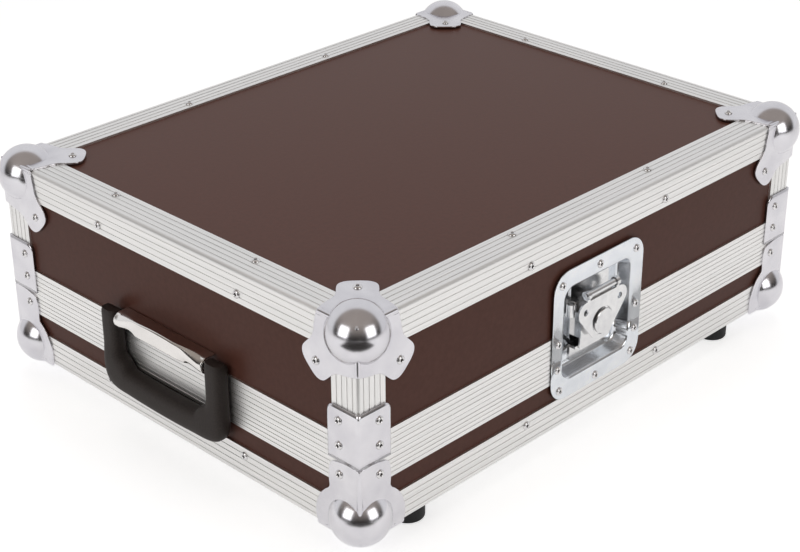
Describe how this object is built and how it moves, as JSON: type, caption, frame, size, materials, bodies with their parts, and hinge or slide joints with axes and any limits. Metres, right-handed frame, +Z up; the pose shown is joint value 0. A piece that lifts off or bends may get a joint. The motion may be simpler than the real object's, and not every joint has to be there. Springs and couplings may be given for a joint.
{
  "type": "dj mixer flight case",
  "caption": "Plywood flight case with aluminium edges, ball corners, rubber feet, a hinged lid, a recessed butterfly latch and a drop handle",
  "frame": {"origin": "centre of the bounding box, in plan, at the plane of the feet's soles", "axes": "+X along the latch face to its right, +Y from the latch face to the hinges at the back, +Z up"},
  "size_m": [0.6194, 0.487, 0.2315],
  "materials": {
    "phenolic_ply": "resin-faced plywood, dark brown, satin",
    "aluminium": "extruded, ridged, matt anodised",
    "zinc_steel": "zinc-plated pressed sheet",
    "dish_steel": "zinc-plated pressed sheet",
    "latch_steel": "bright zinc plate",
    "nickel_steel": "bright nickel plate",
    "rivet_steel": "bright",
    "rubber": "matt black moulded",
    "foam": "open-cell lining foam, charcoal"
  },
  "bodies": {
    "base": {"base_back_panel": "phenolic_ply", "base_ball_corners": "zinc_steel", "base_bottom_panel": "phenolic_ply", "base_corner_posts": "aluminium", "base_edge_back": "aluminium", "base_edge_front": "aluminium", "base_edge_left": "aluminium", "base_edge_right": "aluminium", "base_foam_floor": "foam", "base_foam_walls": "foam", "base_front_panel": "phenolic_ply", "base_hinge_leaves": "zinc_steel", "base_left_panel": "phenolic_ply", "base_right_panel": "phenolic_ply", "base_rim_back": "aluminium", "base_rim_front": "aluminium", "base_rim_left": "aluminium", "base_rim_right": "aluminium", "base_rivets": "rivet_steel", "feet": "rubber", "foot_screws": "zinc_steel", "hinge_pins": "zinc_steel", "latch_dish_lower": "dish_steel", "latch_keeper": "latch_steel"},
    "lid": {"handle_bracket": "nickel_steel", "latch_base_plate": "latch_steel", "latch_dish_upper": "dish_steel", "lid_back_panel": "phenolic_ply", "lid_ball_corners": "zinc_steel", "lid_corner_braces": "zinc_steel", "lid_corner_posts": "aluminium", "lid_edge_back": "aluminium", "lid_edge_front": "aluminium", "lid_edge_left": "aluminium", "lid_edge_right": "aluminium", "lid_foam_top": "foam", "lid_foam_walls": "foam", "lid_front_panel": "phenolic_ply", "lid_hinge_leaves": "zinc_steel", "lid_left_panel": "phenolic_ply", "lid_right_panel": "phenolic_ply", "lid_rim_back": "aluminium", "lid_rim_front": "aluminium", "lid_rim_left": "aluminium", "lid_rim_right": "aluminium", "lid_rivets": "rivet_steel", "lid_top_panel": "phenolic_ply"},
    "rotor": {"latch_rotor": "latch_steel", "latch_wing_pin": "latch_steel"},
    "wing": {"latch_wing": "latch_steel"},
    "hook": {"latch_hook": "latch_steel"},
    "handle": {"handle_rod": "nickel_steel", "handle_grip": "rubber"}
  },
  "joints": [
    {"name": "lid_hinge", "type": "hinge", "parent": "base", "child": "lid", "pos_m": [0.00325, 0.2365, 0.0905], "axis": [-1, 0, 0], "range_deg": [0, 100]},
    {"name": "latch_turn", "type": "hinge", "parent": "lid", "child": "rotor", "pos_m": [0.00625, -0.232, 0.111], "axis": [0, 1, 0], "range_deg": [0, 180]},
    {"name": "wing_fold", "type": "hinge", "parent": "rotor", "child": "wing", "pos_m": [0.00625, -0.2337, 0.142], "axis": [-1, 0, 0], "range_deg": [0, 90]},
    {"name": "hook_drop", "type": "slide", "parent": "lid", "child": "hook", "axis": [0, 0, -1], "range_m": [0, 0.008]},
    {"name": "handle_swing", "type": "hinge", "parent": "lid", "child": "handle", "pos_m": [-0.29975, 0, 0.121], "axis": [0, 1, 0], "range_deg": [0, 90]}
  ],
  "couplings": [
    {"joint": "hook_drop", "follows": "latch_turn", "m_per_rad": 0.002546}
  ]
}
